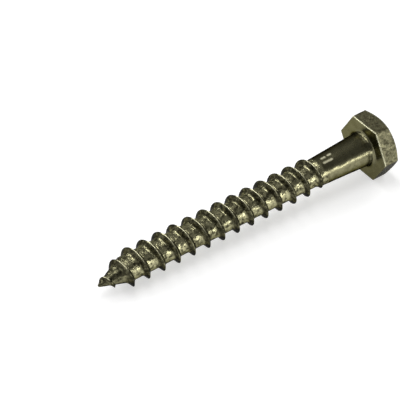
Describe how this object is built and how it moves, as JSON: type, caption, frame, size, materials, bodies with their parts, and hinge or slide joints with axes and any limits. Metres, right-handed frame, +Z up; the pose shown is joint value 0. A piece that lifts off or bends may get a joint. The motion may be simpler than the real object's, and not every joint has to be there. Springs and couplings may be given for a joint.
{
  "type": "lag screw",
  "caption": "Lag screw in one piece: a hexagon head, a tapered plain shank, a coarse right-hand wood thread and a gimlet point, lying as it comes to rest.",
  "frame": {"origin": "on the surface that the screw lies on, under the middle of its length", "axes": "+X runs from the point towards the head along the floor, +Y across the screw, +Z up. The screw's own axis rises 2.48 degrees towards the head."},
  "size_m": [0.0712, 0.0148, 0.0131],
  "materials": {
    "plated_steel": "zinc-plated steel with a yellow-olive tint, glossy and slightly uneven"
  },
  "bodies": {
    "root": {"lag_screw": "plated_steel"}
  },
  "joints": []
}
